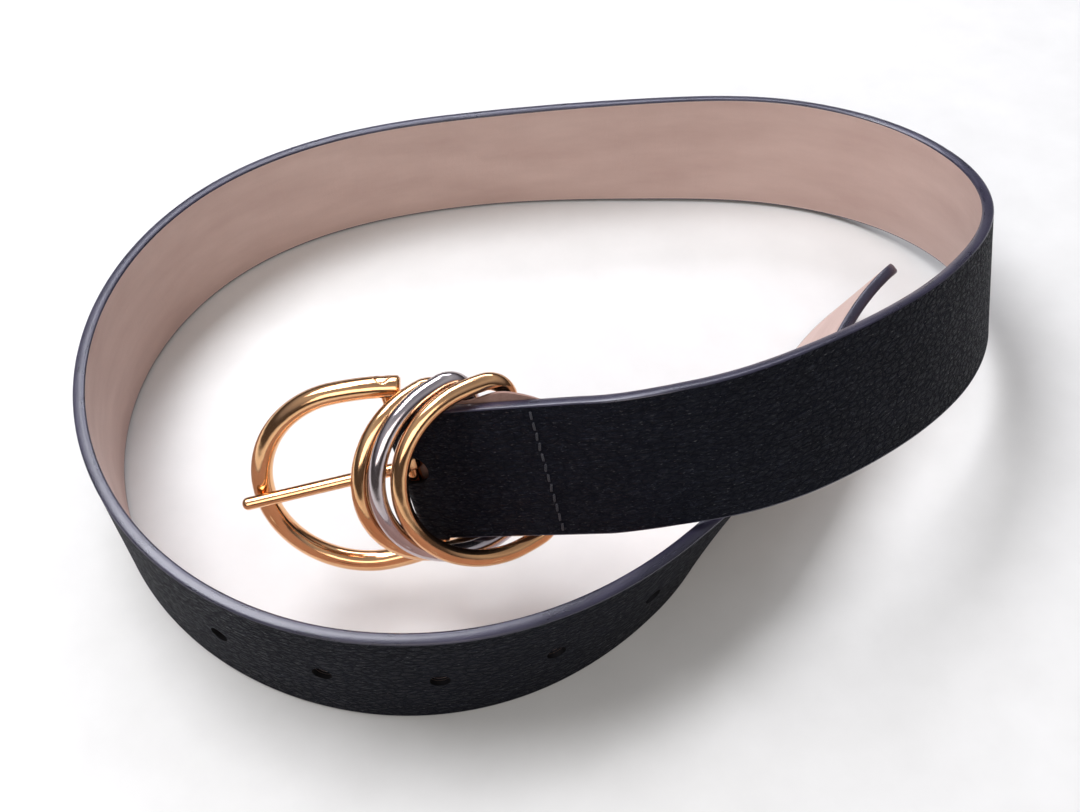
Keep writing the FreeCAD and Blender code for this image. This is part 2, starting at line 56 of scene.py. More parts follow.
# ------------------------------------------------------------ belt dimensions, mm
WIDTH = 35.0
LENGTH = 831.0
PLY, CORE, LINING, GLUE = 1.2, 0.5, 1.1, 0.05
THICK = PLY + CORE + LINING + 2 * GLUE
TIP_CORNER = 9.0
INNER_START = 5.6
HOLE_RADIUS, HOLE_PITCH, FIRST_HOLE, HOLES = 2.3, 26.0, 606.5, 5
FOLD_RADIUS = 1.66
BAR_INWARD = -THICK / 2 + FOLD_RADIUS + PLY
FLAP_LANDING, FLAP_END, FLAP_END_PLY = 13.0, 38.0, 0.4
SLOT_RADIUS, SLOT_SHIFT, SLOT_END = 3.5, 2.2, 5.2
FLAP_SLOT_RADIUS, FLAP_SLOT_HEIGHT, FLAP_SLOT_END = 1.9, 3.7, 3.3
FLAP_RISE, FLAP_RISE_START, FLAP_RISE_RUN = 1.8, 17.0, 19.0
SEAM, STITCHES, STITCH_PITCH, STITCH_LENGTH = 33.5, 12, 2.7, 2.0
PAINT = 0.5
PAINT_PROUD, PAINT_WRAP, PAINT_STEPS = 0.12, 0.035, 10
ROW_STEP, SHEET_COLUMNS, CORNER_STEPS = 1.5, 16, 12
SHEET_START, RAW_INSET, COVER_LAP = 7.0, 0.06, 0.6
THREAD_RADIUS, THREAD_RISE, THREAD_SUNK, THREAD_SIDES = 0.26, 0.20, 0.10, 10
SLIT_FADE = 200.0
FRAME_WIRE, FRAME_HALF, FRAME_ARM, FRAME_ARM_RADIUS = 2.5, 23.2, 12.6, 66.0
FRAME_SHIFT, FRAME_ANGLE = 1.0, math.radians(16.7)
BAR_RADIUS, BAR_HALF, CAP_SUNK, CAP_DEPTH = 1.6, 24.0, 0.015, 0.3
RUN, CREST, FLOOR = 44.0, 68.0, 273.0
BAR_LIFT, CREST_LIFT = 18.6, 35.7
CLIMB = 0.2905
HEADING = math.radians(-12)
BUCKLE_LEAN = math.radians(18)
BENDS = [(44, 115.5), (102, 34.5), (158, 45), (210, 126), (262, 89.5), (318, 3),
         (380, 23), (452, 76), (564, 61.6), (678, 73.7), (750, 37.2), (831, -84.9)]
LEANS = [(44, 18), (98, 26), (148, 22), (198, 9), (278, -12), (378, 0),
         (640, 0), (718, -10), (768, -25), (831, -25)]


# ------------------------------------------------------------ path of the strap
def between(table, station):
    """Value of a table that changes evenly between its stations."""
    for (s0, v0), (s1, v1) in zip(table, table[1:]):
        if station <= s1:
            return v0 + (v1 - v0) * (station - s0) / (s1 - s0)
    return table[-1][1]


def slopes_of(table, first):
    """Slopes that carry a smooth curve through a table without overshoot."""
    steps = [b[0] - a[0] for a, b in zip(table, table[1:])]
    rises = [(b[1] - a[1]) / (b[0] - a[0]) for a, b in zip(table, table[1:])]
    slopes = [first]
    for i in range(1, len(table) - 1):
        a, b = rises[i - 1], rises[i]
        if a * b <= 0:
            slopes.append(0.0)
            continue
        wa, wb = 2 * steps[i] + steps[i - 1], steps[i] + 2 * steps[i - 1]
        slopes.append((wa + wb) / (wa / a + wb / b))
    return slopes + [0.0]


def smooth(table, station, first=0.0):
    slopes = slopes_of(table, first)
    i = 0
    while i < len(table) - 2 and station > table[i + 1][0]:
        i += 1
    width = table[i + 1][0] - table[i][0]
    t = (station - table[i][0]) / width
    rise = table[i + 1][1] - table[i][1]
    return (table[i][1] + rise * t * t * (3 - 2 * t) + width * slopes[i] * t * (1 - t) ** 2
            - width * slopes[i + 1] * t * t * (1 - t))


def lift(s):
    """Height of the strap's lower edge above the floor."""
    if s <= RUN:
        return BAR_LIFT + CLIMB * s
    if s <= CREST:
        return smooth([(RUN, BAR_LIFT + CLIMB * RUN), (CREST, CREST_LIFT)], s, CLIMB)
    if s < FLOOR:
        return CREST_LIFT * math.cos(math.pi / 2 * (s - CREST) / (FLOOR - CREST)) ** 2
    return 0.0


def lean_at(s):
    return BUCKLE_LEAN if s <= RUN else math.radians(smooth(LEANS, s))


def height_at(s):
    lean = lean_at(s)
    return lift(s) + WIDTH / 2 * math.cos(lean) + THICK / 2 * abs(math.sin(lean))


def directions(heading, slope, lean):
    """Directions along the strap, up its face and towards the inside of the coil."""
    flat = math.sqrt(1 - slope * slope)
    side = Vector((-math.sin(heading), math.cos(heading), 0))
    tangent = Vector((math.cos(heading) * flat, math.sin(heading) * flat, slope))
    rise = tangent.cross(side)
    up = (rise * math.cos(lean) + side * math.sin(lean)).normalized()
    return tangent, up, up.cross(tangent).normalized()


def walk():
    """Centre point and directions at every millimetre along the strap."""
    path, x, y, heading, last = [], 0.0, 0.0, HEADING, None
    for k in range(int(LENGTH) + 1):
        s = float(k)
        bend = 0.0 if s <= RUN else math.radians(between(BENDS, s)) / 100
        slope = CLIMB if s <= RUN else height_at(s + 0.5) - height_at(s - 0.5)
        if last:
            heading += (bend + last[0]) / 2
        flat = math.sqrt(1 - slope * slope)
        step = (math.cos(heading) * flat, math.sin(heading) * flat)
        if last:
            x += (step[0] + last[1]) / 2
            y += (step[1] + last[2]) / 2
        last = (bend, *step)
        path.append((Vector((x, y, height_at(s))), *directions(heading, slope, lean_at(s))))
    return path


PATH = walk()
BAR = Vector(JOINTS["frame_swing"]["pos_m"]) / MM
SHIFT = BAR - (PATH[0][0] + PATH[0][3] * BAR_INWARD)


def station(s):
    i = max(0, min(int(s), len(PATH) - 2))
    t = s - i
    centre, tangent, up, inward = (a * (1 - t) + b * t for a, b in zip(PATH[i], PATH[i + 1]))
    return centre + SHIFT, tangent.normalized(), up.normalized(), inward.normalized()


def strap_point(s, up, inward):
    """Point of the strap in metres, for a station, a height across and a depth."""
    centre, _, u, n = station(s)
    return (centre + u * up + n * inward) * MM


def local_point(x, up, inward):
    """Point in the buckle's own straight directions, in metres."""
    _, t, u, n = station(0)
    return (station(0)[0] + t * x + u * up + n * inward) * MM


# ------------------------------------------------------------ outlines of the strap
def half_width(s, inset):
    """Half the strap's width, narrowing round the corners of the tip."""
    start = LENGTH - TIP_CORNER
    if s <= start:
        return WIDTH / 2 - inset
    radius = TIP_CORNER - inset
    depth = min(s - start, radius)
    return WIDTH / 2 - TIP_CORNER + math.sqrt(max(radius * radius - depth * depth, 0))


def hole_half(s):
    """Half the opening of a punched hole at this station, or nothing between holes."""
    for k in range(HOLES):
        off = s - (FIRST_HOLE + k * HOLE_PITCH)
        if abs(off) <= HOLE_RADIUS + 1e-6:
            return math.sqrt(max(HOLE_RADIUS ** 2 - off * off, 0))
    return 0.0


def strap_rows(start, inset):
    """Stations from start to the tip, closer together at the holes and the tip."""
    rows = []
    s = start
    marks = []
    for k in range(HOLES):
        middle = FIRST_HOLE + k * HOLE_PITCH
        marks += [middle - HOLE_RADIUS * math.cos(math.pi * i / 16) for i in range(17)]
    corner = LENGTH - TIP_CORNER
    marks += [corner + (TIP_CORNER - inset) * math.sin(math.pi / 2 * i / 14) for i in range(15)]
    while s < corner - 0.4:
        clear = all(abs(s - FIRST_HOLE - k * HOLE_PITCH) > HOLE_RADIUS + 0.3 for k in range(HOLES))
        if clear:
            rows.append(s)
        s += ROW_STEP
    return sorted(rows + marks)


class Mesh:
    """Vertices, faces, materials and strap coordinates, gathered then built."""

    def __init__(self):
        self.verts, self.faces, self.mats, self.coords = [], [], [], []

    def vert(self, point, coord=(0.0, 0.0)):
        self.verts.append(point)
        self.coords.append(coord)
        return len(self.verts) - 1

    def face(self, corners, material=0):
        kept = [c for i, c in enumerate(corners) if c != corners[i - 1]]
        if len(set(kept)) > 2:
            self.faces.append(kept)
            self.mats.append(material)

    def build(self, name, materials, body, sharp=40):
        mesh = bpy.data.meshes.new(name)
        mesh.from_pydata(self.verts, [], self.faces)
        for material in materials:
            mesh.materials.append(material)
        mesh.polygons.foreach_set("material_index", self.mats)
        layer = mesh.uv_layers.new(name="StrapUV")
        for loop in mesh.loops:
            layer.data[loop.index].uv = self.coords[loop.vertex_index]
        mesh.polygons.foreach_set("use_smooth", [True] * len(mesh.polygons))
        mesh.update()
        mesh.set_sharp_from_angle(angle=math.radians(sharp))
        piece = bpy.data.objects.new(name, mesh)
        bpy.context.scene.collection.objects.link(piece)
        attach(piece, body)
        return piece


def sheet(mesh, rows, place, edge_material, wall_material, slit_material):
    """A leather sheet with slits, from rows across it and a function that places points.

    Each row holds the coordinate along the sheet, half the width, the height and half
    the opening of the slit, and whether its outer edge is painted.
    """
    columns = SHEET_COLUMNS
    grids = []
    for coord, half, middle, opening, _ in rows:
        grid = {}
        for side in (0, 1):
            left, right = [], []
            for j in range(columns + 1):
                t = j / columns
                low = -half + (middle - opening + half) * t
                left.append(mesh.vert(place(coord, low, side), (coord, low)))
            for j in range(columns + 1):
                if j == 0 and opening < 1e-6:
                    right.append(left[-1])
                    continue
                t = j / columns
                high = middle + opening + (half - middle - opening) * t
                right.append(mesh.vert(place(coord, high, side), (coord, high)))
            grid[side] = (left, right)
        grids.append(grid)
    for a, b, row in zip(grids, grids[1:], rows):
        for part in (0, 1):
            for j in range(columns):
                g0, g1 = a[0][part], b[0][part]
                mesh.face([g0[j], g1[j], g1[j + 1], g0[j + 1]], 0)
                f0, f1 = a[1][part], b[1][part]
                mesh.face([f0[j], f0[j + 1], f1[j + 1], f1[j]], 1)
        paint = edge_material if row[4] else wall_material
        mesh.face([a[0][0][0], a[1][0][0], b[1][0][0], b[0][0][0]], paint)
        mesh.face([a[0][1][-1], b[0][1][-1], b[1][1][-1], a[1][1][-1]], paint)
        if a[0][0][-1] != a[0][1][0] or b[0][0][-1] != b[0][1][0]:
            mesh.face([a[0][0][-1], b[0][0][-1], b[1][0][-1], a[1][0][-1]], slit_material)
            mesh.face([a[0][1][0], a[1][1][0], b[1][1][0], b[0][1][0]], slit_material)
    for grid, flip in ((grids[0], False), (grids[-1], True)):
        for part in (0, 1):
            g, f = grid[0][part], grid[1][part]
            for j in range(columns):
                quad = [g[j], g[j + 1], f[j + 1], f[j]]
                mesh.face(quad[::-1] if flip else quad, wall_material)


WRAP = math.pi * (FOLD_RADIUS + PLY / 2)


def fold_point(q, up, side):
    """Point of the outer leather: q below 0 goes round the bar, then along the flap."""
    if q >= 0:
        return strap_point(q, up, -THICK / 2 + (PLY if side else 0))
    if q >= -WRAP:
        angle = -q / WRAP * math.pi
        radius = FOLD_RADIUS + (0 if side else PLY)
        return local_point(-radius * math.sin(angle), up, BAR_INWARD - radius * math.cos(angle))
    x = -WRAP - q
    up *= 1 - 0.05 * min(max((x - FLAP_RISE_START - FLAP_RISE_RUN + 3) / 3, 0), 1)
    swell = min(max((x - FLAP_RISE_START) / FLAP_RISE_RUN, 0), 1)
    up += FLAP_RISE * math.sin(math.pi * swell) ** 2
    gap = THICK / 2 + GLUE
    far = 0 if side else PLY
    if x <= FLAP_LANDING:
        t = x / FLAP_LANDING
        start = BAR_INWARD + FOLD_RADIUS + far
        return local_point(x, up, start + (gap + far - start) * t * t * (3 - 2 * t))
    t = (x - FLAP_LANDING) / (FLAP_END - FLAP_LANDING)
    thin = 0 if side else PLY * (1 - t) + FLAP_END_PLY * t
    return local_point(x, up, gap + thin)


def slot_half(q):
    """Half height of the prong slot, which is smaller where it goes through the flap."""
    flap = q < -WRAP
    x = -WRAP - q if flap else max(q, 0.0)
    radius = FLAP_SLOT_RADIUS if flap else SLOT_RADIUS
    past = x - (FLAP_SLOT_END if flap else SLOT_END) + radius
    return math.sqrt(max(radius ** 2 - max(past, 0.0) ** 2, 0))


def slit_height(q):
    """Height of the line the slits lie on, which comes down to the row of holes."""
    if q < -WRAP:
        return FLAP_SLOT_HEIGHT
    return SLOT_SHIFT * (1 - min(max(q, 0.0) / SLIT_FADE, 1))


def outer_leather():
    """The face leather with its fold round the bar and the turned-back flap."""
    round_end = [SLOT_END - SLOT_RADIUS + SLOT_RADIUS * math.sin(math.pi / 2 * i / 10)
                 for i in range(11)]
    marks = [-WRAP - FLAP_END + ROW_STEP * i for i in range(int((FLAP_END - SLOT_END) / ROW_STEP))]
    marks += [-WRAP - FLAP_SLOT_END + FLAP_SLOT_RADIUS * (1 - math.sin(math.pi / 2 * i / 10))
              for i in range(11)]
    marks += [-WRAP * i / 18 for i in range(1, 19)]
    marks += [0.0, 0.8] + round_end
    marks += strap_rows(SHEET_START, PAINT)
    rows = []
    for q in sorted(set(round(m, 5) for m in marks)):
        opening = slot_half(q) if q < 6 else hole_half(q)
        inset = PAINT if q >= INNER_START - COVER_LAP else RAW_INSET
        rows.append((q, half_width(max(q, 0), inset), slit_height(q), opening, q > -WRAP / 2))
    mesh = Mesh()
    sheet(mesh, rows, fold_point, edge_material=2, wall_material=3, slit_material=4)
    return mesh


def inner_sheet(near, far, start):
    """A flat sheet between two depths: the filler board or the lining."""
    rows = [(s, half_width(s, PAINT), slit_height(s), hole_half(s), True)
            for s in strap_rows(start, PAINT)]
    mesh = Mesh()
    sheet(mesh, rows, lambda s, up, side: strap_point(s, up, near if side else far),
          edge_material=1, wall_material=2, slit_material=2)
    return mesh


def perimeter(start):
    """Points of the painted edge: lower edge, round the tip and back along the top."""
    corner = LENGTH - TIP_CORNER
    reach = WIDTH / 2 - TIP_CORNER
    line = []
    s = start
    while s < corner - 0.5:
        line.append((s, WIDTH / 2, 0.0, 1.0))
        s += ROW_STEP
    for i in range(CORNER_STEPS + 1):
        a = math.pi / 2 * i / CORNER_STEPS
        line.append((corner + TIP_CORNER * math.sin(a), reach + TIP_CORNER * math.cos(a),
                     math.sin(a), math.cos(a)))
    end = [(LENGTH, reach * (1 - 2 * i / 10), 1.0, 0.0) for i in range(1, 10)]
    top = line + end
    mirrored = [(s, -v, ns, -nv) for s, v, ns, nv in reversed(line)]
    return top + mirrored


def painted_edge():
    """Rounded coat of edge paint over all the plies, slightly uneven."""
    mesh = Mesh()
    line = perimeter(INNER_START - COVER_LAP)
    steps = PAINT_STEPS
    rings = []
    run = 0.0
    last = None
    for s, v, ns, nv in line:
        if last:
            run += math.hypot(s - last[0], v - last[1])
        last = (s, v)
        wave = noise.noise(Vector((run * 0.11, 3.1, 0.0))) * 0.05
        wave += noise.noise(Vector((run * 0.6, 7.7, 0.0))) * 0.025
        ring = []
        for k in range(steps + 1):
            angle = math.pi * k / steps
            bulge = (PAINT + PAINT_PROUD) * math.sin(angle) ** 0.75 + wave * math.sin(angle)
            depth = -math.cos(angle) * (THICK / 2 + PAINT_WRAP)
            out = bulge - PAINT - PAINT_PROUD
            ring.append(mesh.vert(strap_point(s + ns * out, v + nv * out, depth), (run, depth)))
        rings.append(ring)
    for a, b in zip(rings, rings[1:]):
        for k in range(steps):
            mesh.face([a[k], a[k + 1], b[k + 1], b[k]], 0)
        mesh.face([a[0], b[0], b[steps], a[steps]], 0)
    mesh.face(rings[0][::-1], 0)
    mesh.face(rings[-1], 0)
    return mesh


def stitch_row():
    """Thread stitches of the cross seam, on the face and on the flap."""
    mesh = Mesh()
    draw = random.Random(11)
    thinned = (SEAM - FLAP_LANDING) / (FLAP_END - FLAP_LANDING)
    flap = THICK / 2 + GLUE + PLY + (FLAP_END_PLY - PLY) * thinned
    for base, away in ((-THICK / 2, -1), (flap, 1)):
        for k in range(STITCHES):
            middle = (k - (STITCHES - 1) / 2) * STITCH_PITCH + draw.uniform(-0.08, 0.08)
            slant = draw.uniform(-0.12, 0.12) + 0.16
            rings = []
            count = 12
            for i in range(count + 1):
                t = 2 * i / count - 1
                rise = THREAD_RISE * (1 - t ** 4) - THREAD_SUNK
                twist = 1 + 0.05 * math.sin(t * 14)
                radius = THREAD_RADIUS * math.sqrt(max(1 - t ** 6, 0.02)) * twist
                ring = []
                for j in range(THREAD_SIDES):
                    a = 2 * math.pi * j / THREAD_SIDES
                    point = local_point(SEAM + slant * t + radius * 1.15 * math.cos(a),
                                        middle + t * (STITCH_LENGTH / 2 + 0.12),
                                        base + away * (rise + radius * math.sin(a)))
                    ring.append(mesh.vert(point, (SEAM + radius * a, middle + t)))
                rings.append(ring)
            for a, b in zip(rings, rings[1:]):
                for j in range(THREAD_SIDES):
                    quad = [a[j], a[(j + 1) % THREAD_SIDES], b[(j + 1) % THREAD_SIDES], b[j]]
                    mesh.face(quad if away > 0 else quad[::-1], 0)
            mesh.face(rings[0][::-1] if away > 0 else rings[0], 0)
            mesh.face(rings[-1] if away > 0 else rings[-1][::-1], 0)
    return mesh


def frame_point(x, y, z):
    """Point in the buckle frame's own directions, in metres."""
    along = x * math.cos(FRAME_ANGLE) + z * math.sin(FRAME_ANGLE)
    outward = z * math.cos(FRAME_ANGLE) - x * math.sin(FRAME_ANGLE)
    return local_point(along, y + FRAME_SHIFT, BAR_INWARD - outward)


def bar_end_caps():
    """Polished ends of the bar, flush with the frame's wire where the bar goes through."""
    mesh = Mesh()
    rounds, sides = 5, 28
    for way in (1, -1):
        rings = []
        for i in range(rounds + 2):
            radius = BAR_RADIUS * min(i, rounds) / rounds
            ring = []
            for j in range(sides):
                a = 2 * math.pi * j / sides
                x, z = radius * math.cos(a), radius * math.sin(a)
                rise = math.sqrt(FRAME_ARM_RADIUS ** 2 - (x + FRAME_ARM) ** 2)
                arm = FRAME_HALF - FRAME_ARM_RADIUS + rise
                skin = arm + math.sqrt(FRAME_WIRE ** 2 - z * z) - CAP_SUNK
                y = skin if i <= rounds else BAR_HALF - CAP_DEPTH
                ring.append(mesh.vert(frame_point(x, way * y, z), (x, z)))
            rings.append(ring)
        for a, b in zip(rings, rings[1:]):
            for j in range(sides):
                quad = [a[j], a[(j + 1) % sides], b[(j + 1) % sides], b[j]]
                mesh.face(quad[::way], 0)
        mesh.face(rings[-1][::-way], 0)
    return mesh


# ------------------------------------------------------------ materials
class Nodes:
    """Small helper that adds shader nodes to one material."""

    def __init__(self, name):
        self.material = bpy.data.materials.new(name)
        self.material.use_nodes = True
        self.tree = self.material.node_tree
        self.shader = self.tree.nodes["Principled BSDF"]

    def add(self, kind, inputs=None, **settings):
        node = self.tree.nodes.new(kind)
        for key, value in settings.items():
            setattr(node, key, value)
        for key, value in (inputs or {}).items():
            if isinstance(value, bpy.types.NodeSocket):
                self.tree.links.new(value, node.inputs[key])
            else:
                node.inputs[key].default_value = value
        return node

    def link(self, socket, name):
        self.tree.links.new(socket, self.shader.inputs[name])

    def math(self, operation, a, b=0.0):
        return self.add("ShaderNodeMath", {0: a, 1: b}, operation=operation).outputs[0]

    def ramp(self, factor, stops):
        node = self.add("ShaderNodeValToRGB", {"Fac": factor})
        elements = node.color_ramp.elements
        while len(elements) < len(stops):
            elements.new(0.5)
        for element, (place, colour) in zip(elements, stops):
            element.position = place
            element.color = (*colour, 1) if len(colour) == 3 else colour
        return node.outputs["Color"]

    def grey(self, factor, stops):
        return self.ramp(factor, [(p, (v, v, v)) for p, v in stops])

    def noise(self, vector, scale, detail=4.0, rough=0.55, distortion=0.0):
        return self.add("ShaderNodeTexNoise", {"Vector": vector, "Scale": scale, "Detail": detail,
                                               "Roughness": rough, "Distortion": distortion}).outputs[0]

    def bump(self, height, distance, strength=1.0, normal=None):
        inputs = {"Height": height, "Distance": distance, "Strength": strength}
        if normal is not None:
            inputs["Normal"] = normal
        return self.add("ShaderNodeBump", inputs).outputs[0]

    def strap(self, scale=(1, 1, 1)):
        """Coordinates along and across the strap, in millimetres times scale."""
        uv = self.add("ShaderNodeUVMap", uv_map="StrapUV").outputs[0]
        return self.add("ShaderNodeMapping", {"Vector": uv, "Scale": scale}).outputs[0]

    def object(self):
        return self.add("ShaderNodeTexCoord").outputs["Object"]

    def mix(self, factor, a, b):
        node = self.add("ShaderNodeMix", data_type="RGBA")
        for index, value in ((0, factor), (6, a), (7, b)):
            if isinstance(value, bpy.types.NodeSocket):
                self.tree.links.new(value, node.inputs[index])
            else:
                node.inputs[index].default_value = value
        return node.outputs[2]


def pebbled_leather():
    n = Nodes("pebbled_leather")
    warp = n.noise(n.strap(), 0.35, 3)
    shifted = n.add("ShaderNodeVectorMath", {0: n.strap((0.36, 0.72, 1)), 1: warp},
                    operation="ADD").outputs[0]
    cells = n.add("ShaderNodeTexVoronoi", {"Vector": shifted, "Scale": 1.0, "Randomness": 1.0},
                  feature="DISTANCE_TO_EDGE").outputs["Distance"]
    pebble = n.grey(cells, [(0.0, 0.0), (0.10, 0.55), (0.32, 1.0)])
    creases = n.grey(n.noise(n.strap((0.16, 0.62, 1)), 1.0, 6, 0.6, 1.4),
                     [(0.40, 1.0), (0.50, 0.0), (0.60, 1.0)])
    pores = n.noise(n.strap(), 5.0, 2)
    height = n.math("ADD", n.math("MULTIPLY", pebble, 0.75), n.math("MULTIPLY", creases, 0.35))
    height = n.math("ADD", height, n.math("MULTIPLY", pores, 0.12))
    cloud = n.noise(n.strap((0.05, 0.09, 1)), 1.0, 4)
    base = n.ramp(cloud, [(0.35, (0.0020, 0.0027, 0.0072)), (0.65, (0.0042, 0.0052, 0.0112))])
    worn = n.grey(n.noise(n.strap((0.25, 0.8, 1)), 1.0, 6, 0.7), [(0.60, 0.0), (0.72, 1.0)])
    along = n.add("ShaderNodeSeparateXYZ", {0: n.strap()}).outputs[0]
    near = n.math("MULTIPLY", n.grey(n.math("MULTIPLY", along, 0.02), [(0.0, 1.0), (0.62, 0.0)]), worn)
    colour = n.mix(n.math("MULTIPLY", near, 0.75), base, (0.055, 0.034, 0.024, 1))
    tops = n.mix(n.math("MULTIPLY", pebble, 0.3), colour, (0.0070, 0.0085, 0.015, 1))
    # Painted highlight: thin light lines along the creases stand in for glints on the wrinkles.
    crease_glint_contours = n.grey(n.noise(n.strap((0.11, 0.60, 1)), 1.0, 5, 0.6, 1.2),
                   [(0.484, 0.0), (0.500, 1.0), (0.516, 0.0)])
    broken = n.grey(n.noise(n.strap((0.30, 0.70, 1)), 1.0, 3), [(0.44, 0.0), (0.60, 1.0)])
    painted_crease_glints = n.math("MULTIPLY", crease_glint_contours, broken)
    tops = n.mix(n.math("MULTIPLY", painted_crease_glints, 0.55), tops, (0.050, 0.056, 0.078, 1))
    glint = n.grey(n.noise(n.strap((0.9, 2.4, 1)), 1.0, 3), [(0.62, 0.0), (0.70, 1.0)])
    satin = n.grey(pebble, [(0.0, 0.75), (1.0, 0.50)])
    n.link(n.math("SUBTRACT", satin, n.math("MULTIPLY", glint, 0.24)), "Roughness")
    n.link(tops, "Base Color")
    n.link(n.math("ADD", n.math("MULTIPLY", glint, 0.50), 0.10), "Specular IOR Level")
    n.link(n.bump(height, 0.00055, 1.0), "Normal")
    return n.material


def suede():
    n = Nodes("raw_suede")
    fibre = n.noise(n.object(), 1500, 6, 0.7)
    patch = n.noise(n.object(), 160, 3)
    colour = n.ramp(patch, [(0.3, (0.16, 0.075, 0.055)), (0.7, (0.33, 0.19, 0.15))])
    n.link(n.mix(n.math("MULTIPLY", fibre, 0.55), colour, (0.48, 0.33, 0.28, 1)), "Base Color")
    n.shader.inputs["Roughness"].default_value = 0.92
    n.link(n.bump(fibre, 0.0003, 0.8), "Normal")
    return n.material


def lining_leather():
    n = Nodes("lining_leather")
    across = n.add("ShaderNodeSeparateXYZ", {0: n.strap()}).outputs[1]
    # Painted highlight: the lighter rim along both edges of the lining stands in for light caught on
    # its rounded edges.
    edge = n.grey(n.math("DIVIDE", n.math("ABSOLUTE", across), WIDTH / 2), [(0.935, 0.0), (0.965, 1.0)])
    cloud = n.noise(n.strap((0.03, 0.12, 1)), 1.0, 5)
    base = n.ramp(cloud, [(0.3, (0.50, 0.350, 0.305)), (0.7, (0.60, 0.440, 0.385))])
    fine = n.noise(n.strap((1.6, 2.6, 1)), 1.0, 4)
    toned = n.mix(n.math("MULTIPLY", fine, 0.25), base, (0.42, 0.285, 0.240, 1))
    n.link(n.mix(n.math("MULTIPLY", edge, 0.6), toned, (0.68, 0.54, 0.50, 1)), "Base Color")
    n.link(n.grey(cloud, [(0.3, 0.62), (0.7, 0.50)]), "Roughness")
    wrinkles = n.noise(n.strap((0.55, 0.10, 1)), 1.0, 5, 0.6, 0.8)
    height = n.math("ADD", n.math("MULTIPLY", wrinkles, 0.6), n.math("MULTIPLY", fine, 0.4))
    n.link(n.bump(height, 0.00022, 0.5), "Normal")
    return n.material


def edge_paint():
    n = Nodes("edge_paint")
    cloud = n.noise(n.strap((0.08, 0.5, 1)), 1.0, 4)
    colour = n.ramp(cloud, [(0.35, (0.012, 0.011, 0.024)), (0.7, (0.028, 0.024, 0.048))])
    nick = n.grey(n.noise(n.strap((0.5, 1.6, 1)), 1.0, 6, 0.75), [(0.66, 0.0), (0.71, 1.0)])
    n.link(n.mix(n.math("MULTIPLY", nick, 0.5), colour, (0.10, 0.075, 0.065, 1)), "Base Color")
    n.link(n.grey(cloud, [(0.3, 0.24), (0.7, 0.38)]), "Roughness")
    n.shader.inputs["Coat Weight"].default_value = 0.6
    n.shader.inputs["Coat Roughness"].default_value = 0.22
    n.shader.inputs["Coat Tint"].default_value = (0.90, 0.88, 1.0, 1)
    fibre = n.noise(n.strap((0.9, 5.0, 1)), 1.0, 5, 0.65)
    n.link(n.bump(n.math("SUBTRACT", fibre, n.math("MULTIPLY", nick, 0.6)), 0.00016, 0.6), "Normal")
    return n.material


def hole_wall():
    n = Nodes("cut_leather_wall")
    fibre = n.noise(n.object(), 1800, 5, 0.7)
    # Painted shade: the cut walls are coloured near-black so the punched holes and slits look shaded
    # inside.
    tone = n.ramp(fibre, [(0.3, (0.0015, 0.0015, 0.0022)), (0.75, (0.0060, 0.0052, 0.0060))])
    n.link(tone, "Base Color")
    n.shader.inputs["Roughness"].default_value = 0.85
    n.shader.inputs["Specular IOR Level"].default_value = 0.12
    n.link(n.bump(fibre, 0.0002, 0.6), "Normal")
    return n.material


def thread():
    n = Nodes("waxed_thread")
    twist = n.add("ShaderNodeTexWave", {"Vector": n.strap((1.0, 1.7, 1)), "Scale": 1.0,
                                       "Distortion": 0.4}, bands_direction="DIAGONAL").outputs["Fac"]
    n.link(n.ramp(twist, [(0.2, (0.012, 0.013, 0.02)), (0.8, (0.06, 0.062, 0.075))]), "Base Color")
    n.shader.inputs["Roughness"].default_value = 0.34
    n.link(n.bump(twist, 0.00012, 0.7), "Normal")
    return n.material


def board():
    n = Nodes("filler_board")
    fibre = n.noise(n.object(), 1400, 5)
    n.link(n.ramp(fibre, [(0.3, (0.13, 0.08, 0.055)), (0.7, (0.25, 0.17, 0.12))]), "Base Color")
    n.shader.inputs["Roughness"].default_value = 0.9
    n.link(n.bump(fibre, 0.0002, 0.5), "Normal")
    return n.material


def plated(name, light, dark, roughness):
    """Polished plating with faint clouds, hairline scratches and soft dents."""
    n = Nodes(name)
    n.shader.inputs["Metallic"].default_value = 1.0
    cloud = n.noise(n.object(), 90, 4)
    n.link(n.ramp(cloud, [(0.3, dark), (0.7, light)]), "Base Color")
    stretched = n.add("ShaderNodeMapping", {"Vector": n.object(), "Scale": (700, 90, 160)}).outputs[0]
    hair = n.noise(stretched, 3.0, 6, 0.7)
    n.link(n.grey(n.math("ADD", n.math("MULTIPLY", cloud, 0.5), n.math("MULTIPLY", hair, 0.5)),
                  [(0.3, roughness * 0.7), (0.7, roughness * 1.4)]), "Roughness")
    even = n.add("ShaderNodeBevel", {"Radius": 0.0007}, samples=8).outputs[0]
    dent = n.bump(n.noise(n.object(), 130, 2), 0.0004, 0.3, even)
    n.link(n.bump(hair, 0.00002, 0.5, dent), "Normal")
    return n.material


def painted_floor():
    n = Nodes("pale_floor")
    speck = n.noise(n.object(), 60, 5)
    n.link(n.ramp(speck, [(0.3, (0.70, 0.69, 0.66)), (0.7, (0.74, 0.73, 0.70))]), "Base Color")
    n.shader.inputs["Roughness"].default_value = 0.75
    n.link(n.bump(speck, 0.0004, 0.1), "Normal")
    return n.material


# ------------------------------------------------------------ belt pieces
GRAIN, SUEDE, EDGE, WALL = pebbled_leather(), suede(), edge_paint(), hole_wall()
LINER, THREAD, BOARD = lining_leather(), thread(), board()
GOLD = plated("rose_gold_plating", (0.93, 0.56, 0.30), (0.78, 0.42, 0.20), 0.11)
SILVER = plated("silver_plating", (0.68, 0.61, 0.62), (0.50, 0.44, 0.46), 0.12)


def finish_piece(mesh, name, materials, body, slot, *nodes, sharp=40):
    piece = mesh.build(name, materials, body, sharp)
    if nodes:
        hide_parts(*nodes)
    return piece


